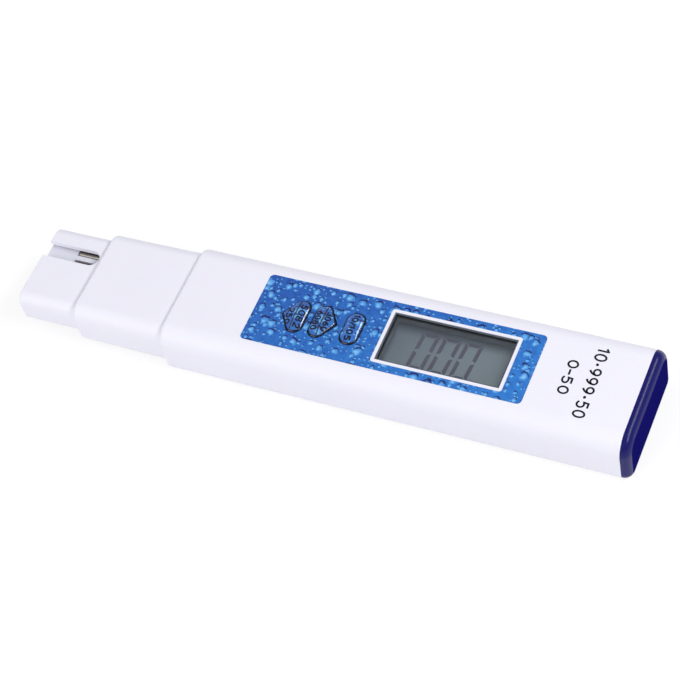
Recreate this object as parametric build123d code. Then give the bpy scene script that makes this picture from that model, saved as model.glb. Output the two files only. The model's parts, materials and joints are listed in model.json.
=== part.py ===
from build123d import *
import os

# Water quality tester of the pen kind, in millimetres.
# X runs along the pen, from the sensor end at -X to the battery cap at +X. The display faces +Z.
# The origin is under the middle of the pen, on the surface that it lies on.

# Body sleeve. Its length, width and height follow from what it holds, further down.
body_top_radius = 5.0
body_bottom_radius = 3.0
body_wall = 1.6
front_wall = 2.0
body_rim_radius = 1.0

# Collar between the body and the sensor guard, with a slight taper towards the sensor end
collar_length = 26.55
collar_side_step = 1.425
collar_top_step = 1.325
collar_taper = 0.275
collar_top_radius = 3.8
collar_bottom_radius = 2.3
collar_rim_radius = 1.0
collar_back_wall = 2.0
collar_spigot_length = 4.0
collar_spigot_side_step = 2.575
collar_spigot_top_step = 1.975
collar_spigot_radius = 2.0
collar_spigot_wall = 1.3
snap_rib_length = 1.0
snap_rib_height = 0.5
gasket_width = 1.2
gasket_thickness = 1.0

# Sensor guard, open at its tip and slotted on its upper face
guard_length = 17.2
guard_side_step = 1.4
guard_top_step = 1.575
guard_top_radius = 2.95
guard_bottom_radius = 1.8
guard_wall = 1.3
guard_edge_bevel = 0.3
guard_spigot_length = 6.0
guard_spigot_step = 0.7
slot_length = 16.2
slot_width = 4.8
slot_offset = 4.6

# Sensors inside the guard
carrier_plug_length = 6.3
carrier_flange_length = 2.0
potting_length = 4.0
pin_diameter = 2.0
pin_spacing = 3.7
pin_offset = 5.05
pin_depth = 2.9
pin_from_tip = 8.55
pin_bevel = 0.3
cradle_setback = 0.2
cradle_from_middle = 1.9
cradle_depth = 2.0
cradle_groove_gap = 0.15
probe_tail = 2.0
thermometer_diameter = 2.4
thermometer_offset = -0.6
thermometer_from_tip = 7.0
thermometer_bevel = 0.5
glass_stem_diameter = 5.4
glass_stem_wall = 0.6
glass_stem_offset = -5.8
glass_stem_from_tip = 5.2
glass_nose_length = 1.3
glass_nose_width = 1.1
inner_wire_diameter = 0.6
inner_wire_setback = 3.0
lead_width = 1.2
lead_thickness = 0.4
lead_bend_radius = 4.0
lead_run = 6.0
lead_pad_run = 5.0

# Battery cap
cap_reach = 2.55
cap_edge_radius = 2.4
cap_spigot_length = 6.0
cap_spigot_wall = 1.5
cap_seal_width = 1.4
cap_seal_depth = 0.7
cap_seal_from_face = 2.2
prong_width = 5.0
prong_height = 4.0
prong_clearance = 0.3

# Label, display window and keys on the upper face, in line from the front of the body to its back
label_from_body_front = 21.5
keys_from_label_front = 7.73
shield_key_gap = 1.6
power_key_gap = 1.745
window_from_power_key = 6.125
window_length = 32.85
window_to_label_back = 6.55
label_to_body_back = 26.15
label_side_gap = 5.45
label_corner_radius = 1.2
label_offset = -0.15
label_recess = 0.25
label_thickness = 0.3
window_width = 14.98
window_rim_width = 0.85
window_rim_rise = 0.08
window_rim_corner = 0.7
key_row_offset = -0.55
key_span = 10.0
key_rise = 1.1
key_crown_radius = 16.0
key_bevel_width = 0.35
key_bevel_height = 0.5
key_travel = 0.3
key_flange_margin = 0.55
key_flange_thickness = 0.8
key_stem_diameter = 3.2
key_stem_length = 1.45
shield_reach = 6.85
shield_shoulder = 3.5
shield_side_radius = 2.2
shield_shoulder_radius = 1.9
shield_point_radius = 0.7
power_key_width = 4.95

# Display stack
display_depth = 3.2
lens_thickness = 0.8
lens_setback = 0.4
lens_seat = 0.35
gasket_neck_wall = 0.7
gasket_flange_margin = 1.8
display_margin = 2.2
display_thickness = 2.2
display_ledge = 2.0
holder_wall = 1.4
zebra_width = 1.8

# Inner tray and circuit board
tray_gap = 1.0
tray_floor = 1.0
tray_wall = 1.3
tray_wall_height = 5.4
board_ledge = 1.5
board_lift = 2.35
board_thickness = 1.0
board_end_gap = 0.5
front_screw = 13.0
middle_screw = 47.0
screw_from_edge = 3.7
screw_diameter = 2.0
screw_head_diameter = 3.8
screw_head_height = 1.3
screw_slot_width = 0.6
boss_diameter = 4.6
switch_size = 6.0
switch_height = 3.5
switch_well_gap = 0.2
plunger_diameter = 3.4
plunger_rise = 1.6
plunger_sink = 0.7
chip_size = 7.0
chip_height = 1.3
chip_lead_pitch = 1.27
chip_lead_width = 0.4
chip_lead_reach = 1.05
chip_leads_per_side = 4
chip_from_board_front = 15.0
crystal_length = 10.0
crystal_width = 4.2
crystal_height = 3.4
crystal_from_board_front = 24.0
crystal_from_edge = 5.0
resistor_length = 1.6
resistor_width = 0.8
resistor_height = 0.5
resistor_pitch = 2.6
resistor_count = 6
resistors_from_edge = 5.0

# Button cells and their contacts
cell_diameter = 11.6
cell_height = 5.4
cell_rim = 1.5
cell_step = 0.35
cell_gap = 0.6
cell_pocket_clearance = 0.15
cell_inset = 1.9
cell_bay_wall = 1.5
cell_side_wall = 1.1
cell_bay_floor = 0.6
cell_bay_drop = 0.8
contact_thickness = 0.3
contact_width = 4.0
contact_foot = 3.0

# Smallest rounding of an inner corner
smallest_corner = 0.4

# Clearances on each side: between fixed pieces, and round a piece that slides
fit = 0.05
run = 0.12
seal_gap = 0.04

# Outer sizes that follow from the sizes above
label_length = (keys_from_label_front + 2 * shield_reach + shield_key_gap + power_key_gap + power_key_width
                + window_from_power_key + window_length + window_to_label_back)
body_length = label_from_body_front + label_length + label_to_body_back
board_half_width = cell_diameter + cell_gap / 2 + cell_side_wall
body_width = 2 * (board_half_width + 2 * fit + tray_wall + body_wall)
switch_stack = switch_height + plunger_rise + key_stem_length + key_flange_thickness
body_height = 2 * body_wall + 2 * fit + tray_floor + board_lift + board_thickness + switch_stack
label_width = body_width - 2 * label_side_gap
collar_back_width = body_width - 2 * collar_side_step
collar_front_width = collar_back_width - 2 * collar_taper
collar_height = body_height - 2 * collar_top_step
collar_spigot_width = collar_back_width - 2 * collar_spigot_side_step
collar_spigot_height = collar_height - 2 * collar_spigot_top_step
guard_width = collar_front_width - 2 * guard_side_step
guard_height = collar_height - 2 * guard_top_step

# Stations along X and heights along Z that follow from the sizes above
total_length = guard_length + collar_length + body_length + cap_reach
tip_x = -total_length / 2
guard_back_x = tip_x + guard_length
collar_back_x = guard_back_x + collar_length
body_back_x = collar_back_x + body_length
spigot_end_x = guard_back_x + guard_spigot_length
carrier_back_x = spigot_end_x + carrier_flange_length
potting_back_x = carrier_back_x + potting_length
probe_end_x = potting_back_x + probe_tail
tray_front_x = collar_back_x + collar_spigot_length + tray_gap
tray_back_x = body_back_x - cap_spigot_length - tray_gap
cell_x = tray_back_x - cell_inset - cell_diameter / 2
bay_front_x = cell_x - cell_diameter / 2 - cell_pocket_clearance - cell_bay_wall
board_front_x = tray_front_x + board_end_gap
board_back_x = bay_front_x - board_end_gap
label_front_x = collar_back_x + label_from_body_front
mode_key_x = label_front_x + keys_from_label_front + shield_reach
hold_key_x = mode_key_x + shield_key_gap
power_key_x = hold_key_x + shield_reach + power_key_gap + power_key_width / 2
window_front_x = power_key_x + power_key_width / 2 + window_from_power_key
window_x = window_front_x + window_length / 2

axis_z = body_height / 2
guard_top_z = axis_z + guard_height / 2
pin_z = guard_top_z - pin_depth
wall_under_z = body_height - body_wall
tray_floor_z = body_wall + fit + tray_floor
board_z = tray_floor_z + board_lift
board_top_z = board_z + board_thickness
display_top_z = body_height - display_depth
display_bottom_z = display_top_z - display_thickness
flange_top_z = wall_under_z - fit
flange_bottom_z = flange_top_z - key_flange_thickness
switch_top_z = board_top_z + switch_height
plunger_top_z = switch_top_z + plunger_rise
switch_well_z = switch_top_z - plunger_sink - key_travel - switch_well_gap
bridge_z = tray_floor_z + cell_bay_floor
cell_z = bridge_z + contact_thickness
leaf_z = cell_z + cell_height + fit
cell_y = (cell_diameter + cell_gap) / 2


def section(width, height, top_radius, bottom_radius):
    """Flat rounded section across the pen, with its own radius for the upper and the lower corners."""
    face = Rectangle(width, height)
    face = fillet(face.vertices().sort_by(Axis.Y)[-2:], max(top_radius, smallest_corner))
    return fillet(face.vertices().sort_by(Axis.Y)[:2], max(bottom_radius, smallest_corner))


def body_section(inset=0.0):
    """Section of the body, drawn in by an inset all round."""
    width, height = body_width - 2 * inset, body_height - 2 * inset
    return section(width, height, body_top_radius - inset, body_bottom_radius - inset)


def cavity_section(clearance=0.0):
    """Section of the space inside the body wall, less a clearance."""
    return body_section(body_wall + clearance)


def guard_section(inset=0.0):
    """Section of the sensor guard, drawn in by an inset all round."""
    width, height = guard_width - 2 * inset, guard_height - 2 * inset
    return section(width, height, guard_top_radius - inset, guard_bottom_radius - inset)


def spigot_section(margin=0.0):
    """Section of the collar's rear spigot, grown by a margin all round."""
    width, height = collar_spigot_width + 2 * margin, collar_spigot_height + 2 * margin
    return RectangleRounded(width, height, collar_spigot_radius + margin)


def along_x(face, start, length):
    """A bar of the given section from a station on X, at the height of the pen's axis."""
    return extrude(Plane.YZ.offset(start) * Pos(0, axis_z) * face, length)


def rod(start, end, diameter, y, z):
    """A round rod along X."""
    return extrude(Plane.YZ.offset(start) * Pos(y, z) * Circle(diameter / 2), end - start)


def block(x_range, y_range, z_range):
    """A box from its ranges on X, Y and Z."""
    (x0, x1), (y0, y1), (z0, z1) = x_range, y_range, z_range
    middle = Pos((x0 + x1) / 2, (y0 + y1) / 2, (z0 + z1) / 2)
    return middle * Box(x1 - x0, y1 - y0, z1 - z0)


def plate(outline, low, high):
    """An outline on the XY plane raised from one height to another."""
    return extrude(Pos(0, 0, low) * outline, high - low)


def window_outline(margin, corner=0.0):
    """Rectangle round the display window, grown by a margin, with rounded corners where asked."""
    length, width = window_length + 2 * margin, window_width + 2 * margin
    shape = RectangleRounded(length, width, corner) if corner else Rectangle(length, width)
    return Pos(window_x, label_offset) * shape


def shield_outline(margin):
    """Outline of the two pointed keys: a straight side at X 0, and a blunt point towards +X."""
    half = key_span / 2
    sides = [(0, half), (shield_shoulder, half), (shield_reach, 0), (shield_shoulder, -half), (0, -half)]
    face = make_face(Polyline(*sides, close=True))
    face = fillet(face.vertices().sort_by(Axis.X)[2:4], shield_shoulder_radius)
    face = fillet(face.vertices().sort_by(Axis.X)[:2], shield_side_radius)
    face = fillet(face.vertices().sort_by(Axis.X)[-1:], shield_point_radius)
    return offset(face, margin) if margin else face


def stadium_outline(margin):
    """Outline of the on and off key."""
    return SlotOverall(key_span + 2 * margin, power_key_width + 2 * margin, rotation=90)


def key_outlines(margin):
    """Outline of each key on the upper face, grown by a margin, by name."""
    return {
        "key_mode_cal": Pos(mode_key_x, key_row_offset) * Rot(0, 0, 180) * shield_outline(margin),
        "key_hold_temp": Pos(hold_key_x, key_row_offset) * shield_outline(margin),
        "key_on_off": Pos(power_key_x, key_row_offset) * stadium_outline(margin),
    }


def key_middle(name):
    """Middle of a key on X: its switch stands under this place."""
    box = key_outlines(0.0)[name].bounding_box()
    return (box.min.X + box.max.X) / 2


def housing():
    """One-piece sleeve: front wall with the collar's opening, label recess, window well and key holes."""
    shell = along_x(body_section(), collar_back_x, body_length)
    shell = fillet(shell.faces().sort_by(Axis.X)[0].edges(), body_rim_radius)
    shell -= along_x(cavity_section(), collar_back_x + front_wall, body_length)
    shell -= along_x(spigot_section(fit), collar_back_x, front_wall)
    label = Pos(label_front_x + label_length / 2, label_offset)
    label *= RectangleRounded(label_length, label_width, label_corner_radius)
    recess = plate(label, body_height - label_recess, body_height)
    rim = window_outline(window_rim_width, window_rim_corner)
    shell -= recess - plate(rim, 0, body_height)
    shell += plate(rim, body_height - label_recess, body_height + window_rim_rise)
    shell -= plate(window_outline(0), wall_under_z, body_height + window_rim_rise)
    for outline in key_outlines(run).values():
        shell -= plate(outline, wall_under_z, body_height)
    return shell


def probe_collar():
    """Tapered collar with a bore for the guard's spigot and a rear spigot with a snap rib."""
    ends = [
        (guard_back_x, collar_front_width),
        (collar_back_x, collar_back_width),
    ]
    sections = []
    for x, width in ends:
        face = section(width, collar_height, collar_top_radius, collar_bottom_radius)
        sections.append(Plane.YZ.offset(x) * Pos(0, axis_z) * face)
    collar = loft(sections, ruled=True)
    collar = fillet(collar.faces().sort_by(Axis.X)[0].edges(), collar_rim_radius)
    collar -= along_x(spigot_section(gasket_width), collar_back_x - gasket_thickness, gasket_thickness)
    collar += along_x(spigot_section(), collar_back_x - gasket_thickness, collar_spigot_length)
    rib_x = collar_back_x + front_wall + fit
    collar += along_x(spigot_section(snap_rib_height), rib_x, snap_rib_length)
    bore = guard_section(guard_spigot_step - fit)
    collar -= along_x(bore, guard_back_x, collar_length - collar_back_wall)
    passage = spigot_section(-collar_spigot_wall)
    return collar - along_x(passage, guard_back_x, collar_length + collar_spigot_length)


def probe_guard():
    """Hollow guard, open at the tip, with a water slot above the pins and a spigot at the back."""
    guard = along_x(guard_section(), tip_x, guard_length)
    guard = chamfer(guard.faces().sort_by(Axis.X)[0].edges(), guard_edge_bevel)
    guard += along_x(guard_section(guard_spigot_step), guard_back_x, guard_spigot_length)
    guard -= along_x(guard_section(guard_wall), tip_x, guard_length + guard_spigot_length)
    slot_end = tip_x + slot_length - slot_width / 2
    slot = Pos(slot_end - slot_length / 2, slot_offset) * Rectangle(slot_length, slot_width)
    slot += Pos(slot_end, slot_offset) * Circle(slot_width / 2)
    return guard - plate(slot, axis_z, axis_z + guard_height)


def collar_gasket():
    """Flat gasket round the collar's spigot, against the front wall of the body."""
    ring = spigot_section(gasket_width) - spigot_section(fit)
    return along_x(ring, collar_back_x - gasket_thickness, gasket_thickness)


def probe_places():
    """Each sensor in the guard as its diameter, offset on Y, height and distance from the tip."""
    return {
        "pin_near": (pin_diameter, pin_offset - pin_spacing / 2, pin_z, pin_from_tip),
        "pin_far": (pin_diameter, pin_offset + pin_spacing / 2, pin_z, pin_from_tip),
        "thermometer": (thermometer_diameter, thermometer_offset, axis_z, thermometer_from_tip),
        "glass_stem": (glass_stem_diameter, glass_stem_offset, axis_z, glass_stem_from_tip),
    }


def probe_holes(start, end):
    """Clearance holes along X for all the sensors."""
    holes = [rod(start, end, d + 2 * fit, y, z) for d, y, z, tip in probe_places().values()]
    return Part() + holes


def probe_carrier():
    """Plug that closes the guard and carries the sensors."""
    plug = along_x(guard_section(guard_wall + fit), spigot_end_x - carrier_plug_length, carrier_plug_length)
    plug += along_x(guard_section(guard_spigot_step), spigot_end_x, carrier_flange_length)
    return plug - probe_holes(spigot_end_x - carrier_plug_length, carrier_back_x)


def pin_cradle():
    """Bed under the water slot, with a groove for each pin."""
    start, end = tip_x + cradle_setback, spigot_end_x - carrier_plug_length
    bed_z = guard_top_z - cradle_depth
    bed = along_x(guard_section(guard_wall + fit), start, end - start)
    bed &= block((start, end), (cradle_from_middle, body_width), (0, bed_z))
    for name in ("pin_near", "pin_far"):
        diameter, y, z, tip = probe_places()[name]
        reach = diameter / 2 + cradle_groove_gap
        bed -= block((tip_x + tip - cradle_groove_gap, end), (y - reach, y + reach), (z - reach, bed_z))
    return bed


def probe_potting():
    """Cast resin that seals the sensors behind their carrier."""
    resin = along_x(guard_section(guard_spigot_step), carrier_back_x, potting_length)
    return resin - probe_holes(carrier_back_x, potting_back_x)


def bevelled_rod(name, bevel):
    """A sensor rod with a bevelled nose at its tip, up to its tail behind the resin."""
    diameter, y, z, tip = probe_places()[name]
    body = rod(tip_x + tip, probe_end_x, diameter, y, z)
    return chamfer(body.edges().sort_by(Axis.X)[0], bevel)


def electrode_pins():
    """The two metal pins that measure conductivity."""
    return Compound([bevelled_rod(name, pin_bevel) for name in ("pin_near", "pin_far")])


def thermometer():
    """Closed metal tube of the temperature sensor."""
    return bevelled_rod("thermometer", thermometer_bevel)


def glass_electrode():
    """Glass stem with a closed, bevelled nose, hollow inside."""
    diameter, y, z, tip = probe_places()["glass_stem"]
    radius = diameter / 2
    bulb_x = tip_x + tip + radius
    outer = rod(tip_x + tip, probe_end_x, diameter, y, z)
    outer = chamfer(outer.edges().sort_by(Axis.X)[0], glass_nose_length, glass_nose_width)
    return outer - rod(bulb_x, probe_end_x - glass_stem_wall, diameter - 2 * glass_stem_wall, y, z)


def inner_wire():
    """Silver wire inside the glass stem."""
    diameter, y, z, tip = probe_places()["glass_stem"]
    start = tip_x + tip + inner_wire_setback
    return rod(start, probe_end_x - glass_stem_wall, inner_wire_diameter, y, z)


def sensor_leads():
    """Flat insulated leads from the back of each sensor to the front edge of the circuit board."""
    leads = []
    pad_z = board_top_z + lead_thickness / 2 + fit
    for diameter, y, z, tip in probe_places().values():
        route = [
            (probe_end_x, y, z),
            (probe_end_x + lead_run, y, z),
            (board_front_x - lead_run / 2, y, pad_z),
            (board_front_x + lead_pad_run, y, pad_z),
        ]
        path = FilletPolyline(*route, radius=lead_bend_radius)
        strip = Plane.YZ.offset(probe_end_x) * Pos(y, z) * Rectangle(lead_width, lead_thickness)
        leads.append(sweep(strip, path))
    return Compound(leads)


def label_film():
    """Printed film in the recess of the body, cut out round the window rim and the keys."""
    outline = Pos(label_front_x + label_length / 2, label_offset)
    outline *= RectangleRounded(label_length - 2 * fit, label_width - 2 * fit, label_corner_radius)
    outline -= window_outline(window_rim_width + fit, window_rim_corner)
    for key in key_outlines(run).values():
        outline -= key
    low = body_height - label_recess
    return plate(outline, low, low + label_thickness)


def lens_margin():
    """Inset of the clear window inside the well."""
    return -(gasket_neck_wall - lens_seat)


def display_gasket():
    """Dark frame that lines the window well, holds the clear window and stands on the display."""
    lens_low = body_height - lens_setback - lens_thickness
    frame = plate(window_outline(gasket_flange_margin), display_top_z, flange_top_z)
    frame += plate(window_outline(-fit), display_top_z, body_height - fit)
    frame -= plate(window_outline(-gasket_neck_wall), display_top_z, body_height)
    return frame - plate(window_outline(lens_margin()), lens_low, body_height)


def display_window():
    """Clear window seated in the gasket."""
    low = body_height - lens_setback - lens_thickness
    return plate(window_outline(lens_margin() - fit), low, low + lens_thickness)


def display_glass():
    """Liquid crystal cell: an upper plate, and a longer lower plate with contact ledges."""
    middle = display_bottom_z + display_thickness / 2
    lower = plate(window_outline(display_margin), display_bottom_z, middle)
    length = window_length + 2 * display_margin
    width = window_width + 2 * display_margin - display_ledge
    upper = Pos(window_x, label_offset + display_ledge / 2) * Rectangle(length, width)
    return lower + plate(upper, middle, display_top_z)


def display_holder():
    """Frame that lifts the display off the circuit board and keeps the two strips in line."""
    frame = window_outline(display_margin) - window_outline(display_margin - holder_wall)
    return plate(frame, board_top_z, display_bottom_z)


def zebra_strips():
    """Two elastomer strips that join the display to the circuit board."""
    length = window_length + 2 * (display_margin - holder_wall - fit)
    reach = window_width / 2 + display_margin - holder_wall - fit - zebra_width / 2
    strips = []
    for side in (-1, 1):
        strip = Pos(window_x, label_offset + side * reach) * Rectangle(length, zebra_width)
        strips.append(plate(strip, board_top_z, display_bottom_z))
    return Compound(strips)


def inner_tray():
    """Tray that slides into the body and carries the board and the cell bay."""
    length = tray_back_x - tray_front_x
    tray = along_x(cavity_section(fit), tray_front_x, length)
    top = tray_floor_z + tray_wall_height
    half = board_half_width + fit
    ends = (tray_front_x, tray_back_x)
    across = (-body_width / 2, body_width / 2)
    tray -= block(ends, across, (top, body_height))
    tray -= block(ends, (-half, half), (board_z, top))
    ledge = half - board_ledge
    tray -= block((tray_front_x, bay_front_x), (-ledge, ledge), (tray_floor_z, board_z))
    tray -= block((bay_front_x, tray_back_x), (-half, half), (tray_floor_z, board_z))
    for x, y in screw_places():
        tray += Pos(x, y, (tray_floor_z + board_z) / 2) * Cylinder(boss_diameter / 2, board_lift)
        tray -= Pos(x, y, (tray_floor_z + board_z) / 2) * Cylinder(screw_diameter / 2, board_lift)
    return tray


def screw_places():
    """Places of the two board screws, one near each long edge."""
    y = board_half_width - screw_from_edge
    return [(board_front_x + front_screw, y), (board_front_x + middle_screw, -y)]


def circuit_board():
    """Circuit board on the ledges of the tray."""
    across = (-board_half_width, board_half_width)
    board = block((board_front_x, board_back_x), across, (board_z, board_top_z))
    for x, y in screw_places():
        board -= Pos(x, y, board_z) * Cylinder(screw_diameter / 2 + run, 2 * board_thickness)
    return board


def board_screws():
    """Slotted screws of the board."""
    screws = []
    shank = board_lift - fit + board_thickness
    head_top = board_top_z + screw_head_height
    for x, y in screw_places():
        screw = Pos(x, y, board_top_z - shank / 2) * Cylinder(screw_diameter / 2 - fit, shank)
        screw += plate(Pos(x, y) * Circle(screw_head_diameter / 2), board_top_z, head_top)
        slot = Pos(x, y) * Rectangle(screw_head_diameter, screw_slot_width)
        screws.append(screw - plate(slot, head_top - screw_slot_width, head_top))
    return Compound(screws)


def controller_chip():
    """Controller in a flat package with leads on its four sides."""
    x = board_front_x + chip_from_board_front
    half = chip_size / 2
    lift = board_top_z + chip_lead_width
    chip = block((x - half, x + half), (-half, half), (lift, lift + chip_height))
    reach = half + chip_lead_reach
    first = -(chip_leads_per_side - 1) * chip_lead_pitch / 2
    for lead in range(chip_leads_per_side):
        place = first + lead * chip_lead_pitch
        across = (place - chip_lead_width / 2, place + chip_lead_width / 2)
        chip += block((x - reach, x + reach), across, (board_top_z, lift))
        chip += block((x + across[0], x + across[1]), (-reach, reach), (board_top_z, lift))
    return chip


def crystal_can():
    """Metal can of the timing crystal."""
    outline = Pos(board_front_x + crystal_from_board_front, board_half_width - crystal_from_edge)
    outline *= SlotOverall(crystal_length, crystal_width)
    return plate(outline, board_top_z, board_top_z + crystal_height)


def small_components():
    """Row of chip resistors and capacitors in front of the keys."""
    pieces = []
    for index in range(resistor_count):
        x = board_front_x + chip_from_board_front + chip_size + index // 2 * resistor_pitch
        y = resistors_from_edge - board_half_width - index % 2 * resistor_pitch
        pieces.append(block((x, x + resistor_length), (y, y + resistor_width),
                            (board_top_z, board_top_z + resistor_height)))
    return Compound(pieces)


def switch_bodies():
    """Bodies of the three push switches, each with a well for its plunger."""
    bodies = []
    for name in key_outlines(0.0):
        x = key_middle(name)
        body = Pos(x, key_row_offset) * Rectangle(switch_size, switch_size)
        well = Pos(x, key_row_offset) * Circle(plunger_diameter / 2 + run)
        body = plate(body, board_top_z, switch_top_z)
        bodies.append(body - plate(well, switch_well_z, switch_top_z))
    return Compound(bodies)


def switch_plunger(name):
    """Plunger of one push switch, which the key above it presses."""
    place = Pos(key_middle(name), key_row_offset)
    return plate(place * Circle(plunger_diameter / 2), switch_top_z - plunger_sink, plunger_top_z)


def key(name):
    """Key with a domed top, a neck through the body wall, a retaining flange and a stem."""
    outline = key_outlines(0.0)[name]
    x, y = key_middle(name), key_row_offset
    top = body_height + key_rise
    cap = plate(outline, flange_top_z, top)
    cap = chamfer(cap.faces().sort_by(Axis.Z)[-1].edges(), key_bevel_height, key_bevel_width)
    cap &= Pos(x, y, top - key_crown_radius) * Rot(0, 90, 0) * Cylinder(key_crown_radius, body_width)
    margin = key_flange_margin + run
    cap += plate(key_outlines(margin)[name], flange_bottom_z, flange_top_z)
    stem = Pos(x, y) * Circle(key_stem_diameter / 2)
    return cap + plate(stem, plunger_top_z, flange_bottom_z)


def cell_bay():
    """Bay with two pockets, open at the back, so that the cells slide out past the cap."""
    top = cell_z + cell_height - cell_bay_drop
    across = (-board_half_width, board_half_width)
    bay = block((bay_front_x, tray_back_x), across, (tray_floor_z, top))
    pocket = cell_diameter / 2 + cell_pocket_clearance
    for side in (-1, 1):
        place = Circle(pocket) + Pos(pocket, 0) * Rectangle(2 * pocket, 2 * pocket)
        bay -= plate(Pos(cell_x, side * cell_y) * place, bridge_z, top)
    return bay - bridge_plate(fit)


def button_cell(x, y, upright):
    """Button cell with its stepped cap on one face."""
    radius = cell_diameter / 2
    can = Pos(0, 0, -cell_step / 2) * Cylinder(radius, cell_height - cell_step)
    can += Pos(0, 0, cell_height / 2 - cell_step) * Cylinder(radius - cell_rim, 2 * cell_step)
    turn = Rot(0, 0, 0) if upright else Rot(180, 0, 0)
    return Pos(x, y, cell_z + cell_height / 2) * turn * can


def button_cells():
    """Two button cells side by side, one turned over, so that they work in line."""
    return Compound([button_cell(cell_x, -cell_y, True), button_cell(cell_x, cell_y, False)])


def bridge_plate(margin):
    """Strip from the middle of one cell to the middle of the other, grown sideways by a margin."""
    half = contact_width / 2 + margin
    reach = cell_y + half
    return block((cell_x - half, cell_x + half), (-reach, reach), (bridge_z, cell_z))


def bridge_contact():
    """Plate under both cells that joins them."""
    return bridge_plate(0.0)


def spring_contacts():
    """Two leaf contacts from the board over the tops of the cells."""
    leaves = []
    foot_x = board_back_x - contact_foot
    riser_x = board_back_x - contact_thickness
    for side in (-1, 1):
        across = (side * cell_y - contact_width / 2, side * cell_y + contact_width / 2)
        leaf = block((foot_x, board_back_x), across, (board_top_z, board_top_z + contact_thickness))
        leaf += block((riser_x, board_back_x), across, (board_top_z, leaf_z + contact_thickness))
        leaf += block((riser_x, cell_x), across, (leaf_z, leaf_z + contact_thickness))
        leaves.append(leaf)
    return Compound(leaves)


def battery_cap():
    """End cap with a hollow spigot, a seal groove and two prongs that keep the cells in place."""
    cap = along_x(body_section(), body_back_x, cap_reach)
    cap = fillet(cap.faces().sort_by(Axis.X)[-1].edges(), cap_edge_radius)
    spigot_x = body_back_x - cap_spigot_length
    cap += along_x(cavity_section(run), spigot_x, cap_spigot_length)
    cap -= along_x(cavity_section(run + cap_spigot_wall), spigot_x, cap_spigot_length)
    groove = cavity_section(run) - cavity_section(run + cap_seal_depth)
    cap -= along_x(groove, seal_x(), cap_seal_width)
    prong_x = cell_x + cell_diameter / 2 + prong_clearance
    middle_z = cell_z + cell_height / 2
    for side in (-1, 1):
        across = (side * cell_y - prong_width / 2, side * cell_y + prong_width / 2)
        prong_z = (middle_z - prong_height / 2, middle_z + prong_height / 2)
        cap += block((prong_x, body_back_x), across, prong_z)
    return cap


def seal_x():
    """Station of the front edge of the cap's seal."""
    return body_back_x - cap_seal_from_face - cap_seal_width


def cap_seal():
    """Rubber ring in the groove of the cap's spigot."""
    ring = cavity_section(seal_gap) - cavity_section(run + cap_seal_depth)
    return along_x(ring, seal_x(), cap_seal_width)


nodes = {
    "housing": housing(),
    "probe_collar": probe_collar(),
    "probe_guard": probe_guard(),
    "collar_gasket": collar_gasket(),
    "probe_carrier": probe_carrier(),
    "pin_cradle": pin_cradle(),
    "probe_potting": probe_potting(),
    "electrode_pins": electrode_pins(),
    "thermometer": thermometer(),
    "glass_electrode": glass_electrode(),
    "inner_wire": inner_wire(),
    "sensor_leads": sensor_leads(),
    "label_film": label_film(),
    "display_gasket": display_gasket(),
    "display_window": display_window(),
    "display_glass": display_glass(),
    "display_holder": display_holder(),
    "zebra_strips": zebra_strips(),
    "inner_tray": inner_tray(),
    "circuit_board": circuit_board(),
    "board_screws": board_screws(),
    "controller_chip": controller_chip(),
    "crystal_can": crystal_can(),
    "small_components": small_components(),
    "switch_bodies": switch_bodies(),
    "cell_bay": cell_bay(),
    "button_cells": button_cells(),
    "bridge_contact": bridge_contact(),
    "spring_contacts": spring_contacts(),
    "battery_cap": battery_cap(),
    "cap_seal": cap_seal(),
}
for key_name in key_outlines(0.0):
    nodes[key_name] = key(key_name)
    nodes["plunger" + key_name.removeprefix("key")] = switch_plunger(key_name)

os.makedirs("parts", exist_ok=True)
for node_name, solid in nodes.items():
    export_step(solid, f"parts/{node_name}.step")
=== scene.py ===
"""Looks of a pen-shaped water quality tester: a white moulded body, a printed film with domed keys,
a small liquid crystal display, a slotted sensor guard and a blue battery cap.

Lengths in the classes are in millimetres, and mm() turns them into metres where a mesh is made.
The frame gives every place that the moulded parts already fix.
"""
import json
import logging
import math
from collections.abc import Callable
from dataclasses import dataclass, field
from enum import Enum

import bpy
from mathutils import Matrix, Vector

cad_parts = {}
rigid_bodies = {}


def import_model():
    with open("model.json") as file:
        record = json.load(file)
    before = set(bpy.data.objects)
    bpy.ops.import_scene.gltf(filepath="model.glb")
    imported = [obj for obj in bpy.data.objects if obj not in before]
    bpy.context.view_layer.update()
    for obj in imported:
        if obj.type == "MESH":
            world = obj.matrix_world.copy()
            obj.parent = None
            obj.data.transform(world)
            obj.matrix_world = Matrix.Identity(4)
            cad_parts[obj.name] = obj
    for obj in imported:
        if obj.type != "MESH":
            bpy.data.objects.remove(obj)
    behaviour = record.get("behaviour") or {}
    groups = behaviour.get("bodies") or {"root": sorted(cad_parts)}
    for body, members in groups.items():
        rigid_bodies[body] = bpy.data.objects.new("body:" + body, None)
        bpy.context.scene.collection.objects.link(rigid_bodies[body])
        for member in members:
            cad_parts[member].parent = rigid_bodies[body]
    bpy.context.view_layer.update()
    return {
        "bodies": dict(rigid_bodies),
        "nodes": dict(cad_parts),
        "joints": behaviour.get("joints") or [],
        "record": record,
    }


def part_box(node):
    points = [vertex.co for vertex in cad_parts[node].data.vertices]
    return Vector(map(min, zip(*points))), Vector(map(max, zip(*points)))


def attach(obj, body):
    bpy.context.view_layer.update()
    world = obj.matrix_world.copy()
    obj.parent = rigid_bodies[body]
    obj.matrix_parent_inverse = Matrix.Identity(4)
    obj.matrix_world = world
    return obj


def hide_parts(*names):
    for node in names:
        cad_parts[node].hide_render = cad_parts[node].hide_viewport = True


log = logging.getLogger("water_tester")

MM = 0.001
Point = tuple[float, float]
Colour = tuple[float, float, float, float]


def mm(length: float) -> float:
    """Returns a length in metres from one in millimetres."""
    return length * MM


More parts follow.
